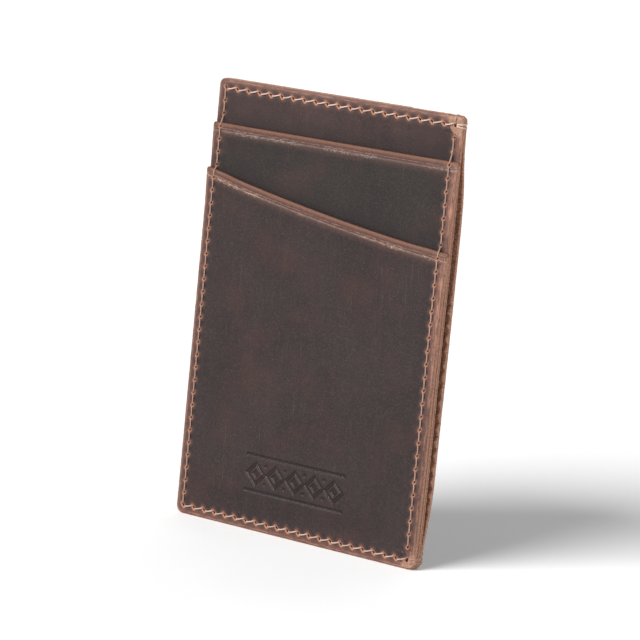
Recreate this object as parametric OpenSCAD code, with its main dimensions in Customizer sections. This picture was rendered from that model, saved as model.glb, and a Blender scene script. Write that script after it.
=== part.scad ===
// Slim card wallet of pull-up leather: two stitched halves around one open centre compartment.
// Millimetres. +Z is up the wallet, -Y is the front with the two card pockets, +X is the open side.
// The two halves meet in the plane y = 0 before the whole wallet is centred on its own depth.

/* [Wallet] */

// Width from the closed side to the open side
wallet_w = 70; // [66:0.5:80]
// Height of both base panels
wallet_h = 106; // [98:0.5:120]
// Radius of the two upper corners
top_corner_r = 1.5; // [0.5:0.1:4]
// Radius of the two lower corners
bottom_corner_r = 2; // [0.5:0.1:4]

/* [Leather] */

// Thickness of the two base panels
base_t = 1.1; // [0.9:0.1:1.6]
// Thickness of the three pocket panels
pocket_t = 0.9; // [0.7:0.1:1.4]

/* [Pockets] */

// How far the upper pocket's mouth lies below the top edge
upper_mouth_drop = 10.6; // [8:0.1:16]
// How far the lower pocket's mouth lies below the top edge, on the closed side
lower_drop_closed_side = 21.3; // [18:0.1:26]
// How far the lower pocket's mouth lies below the top edge, on the open side
lower_drop_open_side = 31.6; // [22:0.1:40]
// How far the middle of the lower mouth sags under a straight line
lower_mouth_sag = 1.1; // [0.4:0.1:3]
// Width of the thumb strip left bare beside the back pocket
thumb_strip_w = 15.6; // [12:0.1:22]
// Space behind each pocket panel where a card goes
pocket_gap = 0.2; // [0.1:0.05:0.4]
// Space between the two halves, the centre compartment
centre_gap = 1.2; // [0.4:0.1:1.6]

/* [Stitching] */

// Distance of each stitch row from the edge
seam_inset = 2.2; // [1.8:0.1:3]
// Stitches in the top row
stitches_top = 20; // [17:1:24]
// Stitches in the bottom row
stitches_bottom = 21; // [17:1:24]
// Stitches in each side row
stitches_up = 33; // [27:1:37]
// Width of the thread
thread_w = 0.5; // [0.3:0.05:0.6]
// Height of the thread above the leather
thread_h = 0.3; // [0.2:0.05:0.4]
// Length of one awl slit
slit_len = 1.2; // [1.1:0.05:1.4]
// Width of one awl slit
slit_w = 0.7; // [0.65:0.05:0.9]

/* [Hidden] */

$fn = 48;
leather_brown = [0.24, 0.18, 0.16];
leather_strip = [0.27, 0.19, 0.17];
leather_grey = [0.23, 0.2, 0.18];
thread_tan = [0.72, 0.52, 0.42];

half_w = wallet_w / 2;
row_x = half_w - seam_inset;
row_top_z = wallet_h - seam_inset;
pitch_up = (row_top_z - seam_inset) / stitches_up;
upper_mouth_z = wallet_h - upper_mouth_drop;
back_mouth_x = half_w - thumb_strip_w;

// Surface of each layer where the seams press it flat, counted outward from y = 0.
level_base = base_t;
level_one = base_t + pocket_t;
level_two = base_t + 2 * pocket_t;

// Outermost leather where the pockets stand off.
front_out = level_two + 2 * pocket_gap;
back_out = level_one + centre_gap + pocket_gap;
depth_centre = (back_out - front_out) / 2;

// The pockets start to stand off at the seam margin, and are fully open after the ramp.
margin = 4.5;
pocket_ramp = 6.5;
centre_ramp = 11.5;
// The centre compartment opens between these two stitches, counted from each end of the open side.
open_from = 1;
open_full = 6;
side_low_z = seam_inset + open_from * pitch_up;
side_high_z = seam_inset + open_full * pitch_up;

// Round big enough to pass every layer and every hole.
reach = 12;
far = 200;

crease_inset = 1.5;
crease_w = 0.5;
crease_depth = 0.15;

leg_w = 0.26;
dip_h = 0.1;
slit_slant_across = -45;
slit_slant_up = 60;
corner_hole_r = 0.75;
groove_w = thread_w + 0.2;
notch_w = thread_w + 0.1;
tack_bite = 0.3;

// Arc of the lower mouth.
mouth_fall = lower_drop_open_side - lower_drop_closed_side;
mouth_chord = sqrt(wallet_w * wallet_w + mouth_fall * mouth_fall);
mouth_r = mouth_chord * mouth_chord / (8 * lower_mouth_sag) + lower_mouth_sag / 2;
mouth_tilt = atan(mouth_fall / wallet_w);
mouth_mid_z = wallet_h - (lower_drop_closed_side + lower_drop_open_side) / 2;
mouth_rise = mouth_r - lower_mouth_sag;
mouth_centre_x = mouth_rise * sin(mouth_tilt);
mouth_centre_z = mouth_mid_z + mouth_rise * cos(mouth_tilt);
mouth_sides = 720;

function lower_mouth_z(x) = mouth_centre_z - sqrt(mouth_r * mouth_r - (x - mouth_centre_x) * (x - mouth_centre_x));
function holes_across(n) = [for (i = [0:n]) -row_x + 2 * row_x * i / n];
function hole_z(i) = seam_inset + i * pitch_up;
function front_level(x, z) = z < lower_mouth_z(x) ? level_two : z < upper_mouth_z ? level_one : level_base;
function back_level(x) = x < back_mouth_x ? level_one : level_base;
function clamp01(v) = min(1, max(0, v));
function open_share(z) = min(clamp01((z - side_low_z) / (side_high_z - side_low_z)), clamp01((wallet_h - z - side_low_z) / (side_high_z - side_low_z)));
function reversed(v) = [for (i = [len(v) - 1:-1:0]) v[i]];

// ---- flat shapes, drawn in x and z ----

module corner_nib(r) {
  difference() {
    translate([-1, -1]) square(r + 1);
    translate([r, r]) circle(r);
  }
}

module wallet_outline() {
  difference() {
    translate([-half_w, 0]) square([wallet_w, wallet_h]);
    translate([-half_w, 0]) corner_nib(bottom_corner_r);
    translate([half_w, 0]) mirror([1, 0]) corner_nib(bottom_corner_r);
    translate([-half_w, wallet_h]) mirror([0, 1]) corner_nib(top_corner_r);
    translate([half_w, wallet_h]) rotate(180) corner_nib(top_corner_r);
  }
}

// A diamond awl leaves a pointed slit.
module slit(slant) {
  rotate(slant) polygon([[-slit_len / 2, 0], [0, -slit_w / 2], [slit_len / 2, 0], [0, slit_w / 2]]);
}

module row_across(z, stitches) {
  at = holes_across(stitches);
  for (i = [0:stitches - 1]) translate([at[i], z]) slit(slit_slant_across);
  translate([row_x, z]) circle(corner_hole_r);
}

module row_up(x) {
  for (i = [1:stitches_up - 1]) translate([x, hole_z(i)]) slit(slit_slant_up);
}

module edge_seam_holes() {
  row_across(seam_inset, stitches_bottom);
  row_across(row_top_z, stitches_top);
  row_up(-row_x);
}

// The corner tacks bite into the edge of the leather.
module tack_notches() {
  translate([half_w - tack_bite, row_top_z - notch_w / 2]) square([reach, notch_w]);
  translate([half_w - tack_bite, seam_inset - notch_w / 2]) square([reach, notch_w]);
  translate([row_x - notch_w / 2, wallet_h - tack_bite]) square([notch_w, reach]);
}

module below_upper_mouth() {
  translate([-far, upper_mouth_z - far]) square([2 * far, far]);
}

// ---- turning flat shapes and profiles into solids ----

// Extrudes an x-z shape from depth y0 to depth y1.
module sheet(y0, y1) {
  rotate([90, 0, 0]) translate([0, 0, -y1]) linear_extrude(y1 - y0) children();
}

// Extrudes an x-y profile up the whole wallet.
module up_prism() {
  translate([0, 0, -reach]) linear_extrude(wallet_h + 2 * reach) children();
}

// Extrudes a profile drawn as (z, y) along x, from x0 to x1.
module across_prism(x0, x1) {
  translate([x0, 0, 0]) multmatrix([[0, 0, 1, 0], [0, 1, 0, 0], [1, 0, 0, 0], [0, 0, 0, 1]]) linear_extrude(x1 - x0) children();
}

// Band of leather that stands off by lift between its ramps: inner face at face, thickness t.
module band(line, face, lift, t) {
  polygon(concat([for (p = line) [p[0], face + p[1] * lift + t]], [for (p = reversed(line)) [p[0], face]]));
}

// Share of the full stand-off, as [place, share].
front_line_x = [[-reach - half_w, 0], [-half_w + margin, 0], [-half_w + margin + pocket_ramp, 1], [half_w - margin - pocket_ramp, 1], [half_w - margin, 0], [half_w + reach, 0]];
front_line_z = [[-reach, 0], [margin, 0], [margin + pocket_ramp, 1], [wallet_h + reach, 1]];
back_line_x = [[-reach - half_w, 0], [-half_w + margin, 0], [-half_w + margin + centre_ramp, 1], [half_w + reach, 1]];
back_line_z = [[-reach, 0], [side_low_z, 0], [side_high_z, 1], [wallet_h - side_high_z, 1], [wallet_h - side_low_z, 0], [wallet_h + reach, 0]];

// The space under a band tapers to nothing at each ramp's foot.
function foot(line) = [for (i = [0:len(line) - 1]) if (line[i][1] > 0 || (i > 0 && line[i - 1][1] > 0) || (i < len(line) - 1 && line[i + 1][1] > 0)) line[i]];

module space(line, face, lift) {
  pts = foot(line);
  polygon(concat([for (p = pts) [p[0], face + p[1] * lift]], [[pts[len(pts) - 1][0], face - 1], [pts[0][0], face - 1]]));
}

// A leather panel: a flat cut shape, lifted off the layer below except along its seams.
// dir is -1 for the front half and 1 for the back half.
module lifted_panel(dir, line_x, line_z, face, lift, t) {
  difference() {
    intersection() {
      sheet(-reach, reach) children();
      scale_y(dir) up_prism() band(line_x, face, lift, t);
      scale_y(dir) across_prism(-far, far) band(line_z, face, lift, t);
    }
    intersection() {
      scale_y(dir) up_prism() space(line_x, face, lift);
      scale_y(dir) across_prism(-far, far) space(line_z, face, lift);
    }
  }
}

module scale_y(dir) {
  mirror([0, dir < 0 ? 1 : 0, 0]) children();
}

module centred() {
  translate([0, -depth_centre, 0]) children();
}

// ---- thread ----

// Thread seen from the side: one dash a stitch, a dip at each hole, and a leg down the hole.
// at: hole positions; from_l and to_l: surface under each dash at its start and end; meet: where the legs end.
module thread_line(at, from_l, to_l, meet) {
  n = len(at) - 1;
  e = leg_w / 2;
  top = [
    [at[0] - e, from_l[0] + dip_h],
    for (i = [0:n - 1]) each concat(
      i > 0 && from_l[i] > to_l[i - 1] + 0.01 ? [[at[i] - e, from_l[i] + dip_h]] : [],
      i > 0 && from_l[i] < to_l[i - 1] - 0.01 ? [[at[i] + e, to_l[i - 1] + dip_h]] : [],
      [[at[i] + e, from_l[i] + dip_h]],
      [[at[i] + 3 * e, from_l[i] + thread_h]],
      [[at[i + 1] - 3 * e, to_l[i] + thread_h]],
      [[at[i + 1] - e, to_l[i] + dip_h]]),
    [at[n] + e, to_l[n - 1] + dip_h]
  ];
  under = [
    [at[n] + e, meet[n]],
    [at[n] - e, meet[n]],
    for (i = [n - 1:-1:0]) each [[at[i + 1] - e, to_l[i]], [at[i] + e, from_l[i]], [at[i] + e, meet[i]], [at[i] - e, meet[i]]]
  ];
  polygon(concat(top, under));
}

module thread_across(z, dir, at, levels, meet) {
  n = len(at) - 1;
  dash = [for (i = [0:n - 1]) max(levels[i], levels[i + 1])];
  translate([0, 0, z - thread_w / 2]) linear_extrude(thread_w) scale_y(dir) thread_line(at, dash, dash, [for (i = [0:n]) meet]);
}

module thread_up(x, dir, at, levels, meet) {
  n = len(at) - 1;
  dash = [for (i = [0:n - 1]) max(levels[i], levels[i + 1])];
  across_prism(x - thread_w / 2, x + thread_w / 2) scale_y(dir) thread_line(at, dash, dash, [for (i = [0:n]) meet]);
}

top_x = holes_across(stitches_top);
bottom_x = holes_across(stitches_bottom);
all_z = [for (i = [0:stitches_up]) hole_z(i)];
side_z = [for (i = [1:stitches_up - 1]) hole_z(i)];

// Closed loop of thread round the edge, from a corner hole on one face to the same hole on the other.
module tack_loop(front_l, back_l) {
  inner = leg_w;
  difference() {
    translate([inner, -front_l - thread_h]) square([seam_inset - inner, front_l + back_l + 2 * thread_h]);
    translate([inner + leg_w, -front_l]) square([seam_inset - inner - leg_w - tack_bite, front_l + back_l]);
  }
}

module side_tack(z, front_l, back_l) {
  translate([row_x, 0, z - thread_w / 2]) linear_extrude(thread_w) tack_loop(front_l, back_l);
}

// ---- the pieces ----

module front_base_panel() {
  color(leather_strip) centred() difference() {
    sheet(-base_t, 0) difference() {
      wallet_outline();
      edge_seam_holes();
      row_up(row_x);
      tack_notches();
    }
    // Groove that keeps the inner thread of the open side flush.
    translate([row_x - groove_w / 2, -thread_h, hole_z(1) - leg_w]) cube([groove_w, reach, hole_z(stitches_up - 2) + 2 * leg_w]);
  }
}

module upper_pocket_panel() {
  color(leather_grey) centred() difference() {
    lifted_panel(-1, front_line_x, front_line_z, level_base, pocket_gap, pocket_t) intersection() {
      difference() {
        wallet_outline();
        edge_seam_holes();
        row_up(row_x);
        tack_notches();
      }
      below_upper_mouth();
    }
    // Heat crease along the mouth.
    translate([-half_w - 1, -reach - level_one - pocket_gap + crease_depth, upper_mouth_z - crease_inset - crease_w]) cube([wallet_w + 2, reach, crease_w]);
  }
}

module lower_pocket_panel() {
  color(leather_brown) centred() difference() {
    lifted_panel(-1, front_line_x, front_line_z, level_one, 2 * pocket_gap, pocket_t) difference() {
      wallet_outline();
      edge_seam_holes();
      row_up(row_x);
      tack_notches();
      translate([mouth_centre_x, mouth_centre_z]) circle(mouth_r, $fn = mouth_sides);
    }
    // Heat crease along the slanted mouth.
    sheet(-reach, -front_out + crease_depth) intersection() {
      translate([-half_w - 1, 0]) square([wallet_w + 2, wallet_h]);
      translate([mouth_centre_x, mouth_centre_z]) difference() {
        circle(mouth_r + crease_inset + crease_w, $fn = mouth_sides);
        circle(mouth_r + crease_inset, $fn = mouth_sides);
      }
    }
  }
}

module back_base_panel() {
  color(leather_brown) centred() difference() {
    lifted_panel(1, back_line_x, back_line_z, 0, centre_gap, base_t) difference() {
      wallet_outline();
      edge_seam_holes();
      row_up(row_x);
      tack_notches();
    }
    // Groove that keeps the inner thread of the open side flush.
    across_prism(row_x - groove_w / 2, row_x + groove_w / 2) polygon([
      for (i = [1:stitches_up - 1]) [hole_z(i) + (i == 1 ? -leg_w : i == stitches_up - 1 ? leg_w : 0), centre_gap * open_share(hole_z(i)) + thread_h],
      [hole_z(stitches_up - 1) + leg_w, -1],
      [hole_z(1) - leg_w, -1]
    ]);
  }
}

module back_pocket_panel() {
  color(leather_brown) centred() difference() {
    lifted_panel(1, back_line_x, back_line_z, level_base, centre_gap + pocket_gap, pocket_t) difference() {
      wallet_outline();
      edge_seam_holes();
      translate([back_mouth_x, -1]) square([far, wallet_h + 2]);
    }
    // Heat crease along the upright mouth.
    translate([back_mouth_x - crease_inset - crease_w, back_out - crease_depth, -1]) cube([crease_w, reach, wallet_h + 2]);
  }
}

module edge_seam_front_thread() {
  color(thread_tan) centred() {
    thread_across(row_top_z, -1, top_x, [for (x = top_x) level_base], 0);
    thread_across(seam_inset, -1, bottom_x, [for (x = bottom_x) level_two], 0);
    thread_up(-row_x, -1, all_z, [for (z = all_z) front_level(-row_x, z)], 0);
  }
}

module edge_seam_back_thread() {
  color(thread_tan) centred() {
    thread_across(row_top_z, 1, top_x, [for (x = top_x) back_level(x)], 0);
    thread_across(seam_inset, 1, bottom_x, [for (x = bottom_x) back_level(x)], 0);
    thread_up(-row_x, 1, all_z, [for (z = all_z) level_one], 0);
  }
}

module front_half_outer_thread() {
  color(thread_tan) centred() thread_up(row_x, -1, side_z, [for (z = side_z) front_level(row_x, z)], base_t / 2);
}

module front_half_inner_thread() {
  color(thread_tan) centred() translate([0, -base_t / 2, 0]) {
    thread_up(row_x, 1, side_z, [for (z = side_z) base_t / 2 - thread_h], 0);
  }
}

// The back half's own row follows its base panel out over the centre compartment.
module back_side_row(dir, face, meet) {
  skin = [for (z = side_z) dir * centre_gap * open_share(z) + face];
  n = len(side_z) - 1;
  across_prism(row_x - thread_w / 2, row_x + thread_w / 2) scale_y(dir) thread_line(
    side_z,
    [for (i = [0:n - 1]) skin[i]],
    [for (i = [0:n - 1]) skin[i + 1]],
    [for (i = [0:n]) dir * centre_gap * open_share(side_z[i]) + meet]);
}

module back_half_outer_thread() {
  color(thread_tan) centred() back_side_row(1, base_t, (base_t + thread_h) / 2);
}

module back_half_inner_thread() {
  color(thread_tan) centred() back_side_row(-1, -thread_h, -(base_t + thread_h) / 2);
}

module top_corner_tack() {
  color(thread_tan) centred() {
    side_tack(row_top_z, level_base, level_base);
    across_prism(row_x - thread_w / 2, row_x + thread_w / 2) translate([row_top_z, 0]) tack_loop(level_base, level_base);
  }
}

module bottom_corner_tack() {
  color(thread_tan) centred() side_tack(seam_inset, level_two, level_base);
}

front_base_panel();
upper_pocket_panel();
lower_pocket_panel();
back_base_panel();
back_pocket_panel();
edge_seam_front_thread();
edge_seam_back_thread();
front_half_outer_thread();
front_half_inner_thread();
back_half_outer_thread();
back_half_inner_thread();
top_corner_tack();
bottom_corner_tack();
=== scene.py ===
"""A slim card wallet of waxed pull-up leather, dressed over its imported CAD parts.

Leather is worked out in millimetres on a flat (u, v) plane: u runs across the wallet, v up it, and
d is the distance outward from the plane where the two halves meet. Each panel is one closed skin
with its own relief, awl slits and cut edge; each seam is one twisted thread.
"""

import math

import bmesh
import bpy
import numpy as np
from mathutils import Matrix, Vector
from mathutils.geometry import delaunay_2d_cdt


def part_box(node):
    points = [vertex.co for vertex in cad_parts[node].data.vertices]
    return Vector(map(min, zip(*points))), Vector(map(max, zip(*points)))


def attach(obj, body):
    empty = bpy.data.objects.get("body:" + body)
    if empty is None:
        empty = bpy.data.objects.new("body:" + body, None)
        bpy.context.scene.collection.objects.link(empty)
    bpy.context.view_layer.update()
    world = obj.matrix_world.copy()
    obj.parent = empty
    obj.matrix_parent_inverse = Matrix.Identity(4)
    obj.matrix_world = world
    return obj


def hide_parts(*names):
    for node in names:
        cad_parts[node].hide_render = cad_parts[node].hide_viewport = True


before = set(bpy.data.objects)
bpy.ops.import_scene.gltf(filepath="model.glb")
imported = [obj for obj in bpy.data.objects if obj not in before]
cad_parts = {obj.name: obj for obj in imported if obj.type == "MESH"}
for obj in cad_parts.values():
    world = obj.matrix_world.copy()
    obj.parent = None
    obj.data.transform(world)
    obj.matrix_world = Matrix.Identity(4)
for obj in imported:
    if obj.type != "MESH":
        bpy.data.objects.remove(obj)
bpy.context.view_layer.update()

MM = 0.001
FRONT, BACK = -1, 1


# ---- sizes, from the frame where it has them ----

def box_mm(node):
    low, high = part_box(node)
    return np.array(low) / MM, np.array(high) / MM


BASE_LOW, BASE_HIGH = box_mm("front_base_panel")
HALF_W = BASE_HIGH[0]
HEIGHT = BASE_HIGH[2]
BASE_T = BASE_HIGH[1] - BASE_LOW[1]
MEET_Y = BASE_HIGH[1]
UPPER_MOUTH = box_mm("upper_pocket_panel")[1][2]
LOWER_MOUTH_CLOSED = box_mm("lower_pocket_panel")[1][2]
BACK_MOUTH = box_mm("back_pocket_panel")[1][0]

POCKET_T = 0.9
POCKET_GAP = 0.2
CENTRE_GAP = 1.2
LOWER_MOUTH_FALL = 10.3
LOWER_MOUTH_SAG = 1.1
TOP_R, BOTTOM_R, TIP_R = 1.5, 2.0, 0.5

SEAM_INSET = 2.2
STITCHES = {"top": 20, "bottom": 21, "side": 33}
SLIT_ACROSS = {"turn": math.radians(-45), "half": 0.7, "width": 0.21}
SLIT_UP = {"turn": math.radians(62), "half": 0.42, "width": 0.22}
CORNER_HOLE_R = 0.46
THREAD_R = 0.175

MARGIN = 4.5
POCKET_RAMP = 6.5
CENTRE_RAMP = 11.5
OPEN_LOW, OPEN_HIGH = 5.3, 20.7

ROW_X = HALF_W - SEAM_INSET
ROW_TOP = HEIGHT - SEAM_INSET
EDGE_ROUND = 0.3
COVERED_ROUND = 0.03
CREASE_AT = 1.85

MARK_AT = np.array((-0.5, 14.0))
MARK_REACH = np.array((15.5, 6))
LOZENGE_PITCH = 5.7
LOZENGE_HALF, LOZENGE_HEART = 1.75, 0.4
RULE_HALF, RULE_UP = 14.2, 4.3
DOT_UP = 2.2
LINE_HALF, LINE_SLOPE, PRESS_DEPTH = 0.48, 0.26, 0.26

MOUTH_FLARE = 0.22
WIDENING = 9
OPEN_CURL = 0.75
CRUSH_REACH = 3.0
SLIT_SIDES = 12
# The rings of a cut edge: how far inside the outline, how deep and how raw each one is.
CUT_RINGS = ((0.4, 0.08, 0.25), (0.09, 0.26, 0.8), (0, 0.52, 1), (0.05, 0.76, 1), (0.2, 0.93, 1))


# ---- shape of the leather, as functions of u and v ----

def smooth(x):
    x = np.clip(x, 0, 1)
    return x * x * (3 - 2 * x)


def bump(x, width):
    return np.exp(-(x / width) ** 2)


def pocket_open(u, v):
    """0 along the seams of a front pocket, 1 where it stands free."""
    across = smooth((HALF_W - MARGIN - np.abs(u)) / POCKET_RAMP)
    return across * smooth((v - MARGIN) / POCKET_RAMP)


def centre_open(u, v):
    """0 along the seams of the back half, 1 where it stands off the front half."""
    side = smooth((u + HALF_W - MARGIN) / CENTRE_RAMP)
    span = OPEN_HIGH - OPEN_LOW
    return side * smooth((v - OPEN_LOW) / span) * smooth((HEIGHT - v - OPEN_LOW) / span)


def wave(u, v):
    """Slow unevenness that every layer of a half shares."""
    slow = 0.09 * np.sin(u / 15 + 1.3) * np.sin(v / 21 + 0.4)
    fast = 0.05 * np.sin(u / 8.3 - v / 12.1 + 2) + 0.03 * np.sin(u / 5.1 + v / 6.7)
    return (slow + fast) * centre_open(u, v)


def lower_mouth(u):
    """Height of the slanted mouth: it falls towards the open side and sags a little."""
    share = (u + HALF_W) / (2 * HALF_W)
    return LOWER_MOUTH_CLOSED - LOWER_MOUTH_FALL * share - LOWER_MOUTH_SAG * 4 * share * (1 - share)


def segment_distance(u, v, a, b):
    a, b = np.array(a, float), np.array(b, float)
    run = b - a
    t = np.clip(((u - a[0]) * run[0] + (v - a[1]) * run[1]) / (run @ run), 0, 1)
    return np.hypot(u - a[0] - t * run[0], v - a[1] - t * run[1])


def mark_distance(u, v):
    """Distance to the lines of a plain pressed ornament: a row of lozenges between two rules."""
    du, dv = np.abs(u - MARK_AT[0]), np.abs(v - MARK_AT[1])
    lines = segment_distance(du, dv, (0, RULE_UP), (RULE_HALF, RULE_UP))
    for step in (0, 1, 2):
        diamond = (np.abs(du - step * LOZENGE_PITCH) + dv) / math.sqrt(2)
        lines = np.minimum(lines, np.abs(diamond - LOZENGE_HALF))
        lines = np.minimum(lines, np.maximum(diamond - LOZENGE_HEART, 0))
    for step in (0.5, 1.5):
        lines = np.minimum(lines, np.hypot(du - step * LOZENGE_PITCH, dv - DOT_UP))
    return lines


def pressed(u, v):
    """1 at the bottom of the ornament's lines, 0 outside them."""
    return smooth((LINE_HALF - mark_distance(u, v)) / LINE_SLOPE)


# ---- seams ----

class Row:
    """One straight row of awl slits, and how far the thread enters from each slit's middle."""

    def __init__(self, holes, slit, entry):
        self.holes, self.slit, self.entry = holes, slit, np.array(entry)
        self.slant = np.array([math.cos(slit["turn"]), math.sin(slit["turn"])])
        run = holes[-1] - holes[0]
        self.along = run / np.linalg.norm(run)

    def distance(self, u, v):
        return segment_distance(u, v, self.holes[0], self.holes[-1])


def row_across(v, stitches):
    return Row(np.linspace((-ROW_X, v), (ROW_X, v), stitches + 1), SLIT_ACROSS, (0.44, -0.31))


def row_up(u, first, last):
    holes = np.linspace((u, SEAM_INSET), (u, ROW_TOP), STITCHES["side"] + 1)
    return Row(holes[first:last], SLIT_UP, (0.05, 0.33))


TOP = row_across(ROW_TOP, STITCHES["top"])
BOTTOM = row_across(SEAM_INSET, STITCHES["bottom"])
CLOSED = row_up(-ROW_X, 0, None)
OPEN = row_up(ROW_X, 1, -1)
ROWS = [TOP, BOTTOM, row_up(-ROW_X, 1, -1), OPEN]
CORNER_HOLES = np.array([(ROW_X, ROW_TOP), (ROW_X, SEAM_INSET)])


def all_slits():
    """Every hole through the leather, as (centre, slant, half length, half width)."""
    cuts = [(corner, np.array([0.6, 0.8]), CORNER_HOLE_R * 1.2, CORNER_HOLE_R) for corner in CORNER_HOLES]
    for row in ROWS:
        for hole in row.holes:
            if np.hypot(*(CORNER_HOLES - hole).T).min() > 0.01:
                cuts.append((hole, row.slant, row.slit["half"], row.slit["width"]))
    return cuts


SLITS = all_slits()


def seam_distance(u, v):
    return np.min([row.distance(u, v) for row in ROWS], axis=0)


def slit_distance(u, v):
    """Distance outside the rim of the nearest slit, negative inside it."""
    nearest = np.full(np.shape(u), 99.0)
    for centre, slant, half, width in SLITS:
        reach = slant * (half - width)
        nearest = np.minimum(nearest, segment_distance(u, v, centre - reach, centre + reach) - width)
    return nearest


def edge_distance(u, v):
    """Distance inside the nearest edge of the wallet."""
    return np.minimum(np.minimum(HALF_W - np.abs(u), v), HEIGHT - v)


def corner_distance(u, v):
    """Distance to the middle of the crushed leather at either corner of the open side."""
    return np.min([np.hypot(u - cu - 0.8, v - cv) for cu, cv in CORNER_HOLES], axis=0)


def crushed(u, v):
    """1 where the leather is crushed most, 0 away from both corners of the open side."""
    return bump(corner_distance(u, v), CRUSH_REACH)


def corner_crush(u, v):
    """Lumpy, pulled-in leather where the thread wraps both corners of the open side."""
    lumps = np.sin(3.1 * u + 1.7 * v) * np.sin(2.3 * v - 2.9 * u + 1) + 0.6 * np.sin(5.3 * u + 4.1 * v + 2)
    strands = [segment_distance(u, v, hole, (HALF_W, hole[1])) for hole in CORNER_HOLES]
    lump_height = np.where(v < HEIGHT / 2, 0.27, 0.16)
    return crushed(u, v) * (lump_height * lumps - 0.12) - 0.14 * bump(np.min(strands, axis=0), 0.42)


def relief(u, v):
    """How stitching presses the leather in, wear rounds its edges and awls lift each slit's lip."""
    seam, slit = seam_distance(u, v), slit_distance(u, v)
    valley = -0.1 * bump(seam, 0.55) + 0.03 * bump(seam - 1.3, 0.6)
    lip = 0.09 * bump(slit - 0.24, 0.17) - 0.1 * bump(np.minimum(slit, 0), 0.1) * (slit < 0.1)
    rounding = 0.3 * (1 - smooth(edge_distance(u, v) / 1.5)) ** 1.6
    return valley + lip + corner_crush(u, v) - rounding


# ---- panels ----

class Panel:
    """A leather panel. under is the height of its inner face, over its outer face, both in d.

    mouth is how far a point lies inside the panel's own mouth, bare how far it lies outside the
    mouth of the panel that covers this one.
    """

    def __init__(self, name, side, thickness, lift, outline, mouth=None, bare=None):
        self.name, self.side, self.thickness, self.lift = name, side, thickness, lift
        self.outline, self.mouth, self.bare = outline, mouth, bare

    def mouth_distance(self, u, v):
        return self.mouth(u, v) if self.mouth else np.full(np.shape(u), 99.0)

    def hidden(self, u, v):
        return self.bare(u, v) < -2 if self.bare else np.zeros(np.shape(u), bool)

    def shade(self, u, v):
        """Painted shade: 1 at the mouth of the covering panel, which shadows this one there, 0 away from
        it.
        """
        return bump(self.bare(u, v), 4) if self.bare else np.zeros(np.shape(u))

    def flare(self, u, v):
        gape = pocket_open(u, v) if self.side == FRONT else centre_open(u, v)
        return MOUTH_FLARE * gape * np.exp(-np.maximum(self.mouth_distance(u, v), 0) / 3.2)

    def under(self, u, v):
        shape = relief(u, v) if self.lift is not no_lift else 0.3 * bump(HALF_W - u, 1.1) * parted(v)
        if self.name == "back_base_panel":
            shape = shape - pucker(u, v) + 0.25 * bump(HALF_W - u, 0.9) * parted(v)
        return self.lift(u, v) + wave(u, v) + shape + self.flare(u, v)

    def over(self, u, v):
        mouth = self.mouth_distance(u, v)
        crease = -0.13 * bump(mouth - CREASE_AT, 0.17) + 0.04 * bump(mouth - CREASE_AT - 0.4, 0.25)
        crease = crease - 0.03 * bump(mouth - 1.05, 0.12) - 0.12 * bump(mouth, 0.5)
        swell = self.lift(u, v) + wave(u, v) + self.flare(u, v)
        d = swell + self.thickness + relief(u, v) + crease
        if self.name == "lower_pocket_panel":
            d = d - PRESS_DEPTH * pressed(u, v) + 0.03 * bump(mark_distance(u, v) - 0.75, 0.25)
        return d

    def at(self, points, share):
        """Points in metres, a share of the way from the outer face to the inner one."""
        u, v = points[:, 0], points[:, 1]
        return to_world(u, v, self.over(u, v) * (1 - share) + self.under(u, v) * share, self.side)


def parted(v):
    """0 at the corners of the open side, where thread holds the halves together, 1 between them."""
    return smooth((v - 3) / 3) * smooth((HEIGHT - v - 3) / 4)


def pucker(u, v):
    """Leather of the open side gathered between its stitches."""
    pitch = OPEN.holes[1][1] - OPEN.holes[0][1]
    ripple = np.cos(math.pi * (v - OPEN.holes[0][1]) / pitch) ** 2
    uneven = 0.75 + 0.2 * np.sin(1.9 * v) + 0.15 * np.sin(0.83 * v + 1)
    fading = smooth((0.68 - v / HEIGHT) / 0.15)
    return uneven * ripple * bump(u - HALF_W + 0.6, 0.75) * centre_open(u, v) * fading


def no_lift(u, v):
    return np.zeros(np.shape(u))


def upper_lift(u, v):
    return BASE_T + POCKET_GAP * pocket_open(u, v)


def lower_lift(u, v):
    return BASE_T + POCKET_T + 2 * POCKET_GAP * pocket_open(u, v)


def back_base_lift(u, v):
    curl = OPEN_CURL * bump(HALF_W - u, 5) * smooth((v - 3) / 10) * smooth((HEIGHT - v - 7) / 22)
    return CENTRE_GAP * centre_open(u, v) + curl


def back_pocket_lift(u, v):
    return BASE_T + (CENTRE_GAP + POCKET_GAP) * centre_open(u, v)


def rounded(corners, step=0.4):
    """Closed outline through (u, v, radius) corners, anticlockwise, sampled about every step."""
    path = []
    n = len(corners)
    for i in range(n):
        here = np.array(corners[i][:2], float)
        before = np.array(corners[i - 1][:2], float) - here
        after = np.array(corners[(i + 1) % n][:2], float) - here
        before /= np.linalg.norm(before)
        after /= np.linalg.norm(after)
        r = corners[i][2]
        if r == 0:
            path.append(here)
            continue
        half = math.acos(np.clip(before @ after, -1, 1)) / 2
        cut = r / math.tan(half)
        centre = here + (before + after) / np.linalg.norm(before + after) * r / math.sin(half)
        start, end = here + before * cut - centre, here + after * cut - centre
        sweep = math.pi - 2 * half
        for t in np.linspace(0, 1, 6):
            path.append(centre + (start * math.sin((1 - t) * sweep) + end * math.sin(t * sweep))
                        / math.sin(sweep))
    loop = []
    for a, b in zip(path, path[1:] + path[:1]):
        pieces = max(1, round(np.linalg.norm(b - a) / step))
        loop += [a + (b - a) * k / pieces for k in range(pieces)]
    return np.array(loop)


def full_outline():
    return rounded([(-HALF_W, 0, BOTTOM_R), (HALF_W, 0, BOTTOM_R), (HALF_W, HEIGHT, TOP_R),
                    (-HALF_W, HEIGHT, TOP_R)])


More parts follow.
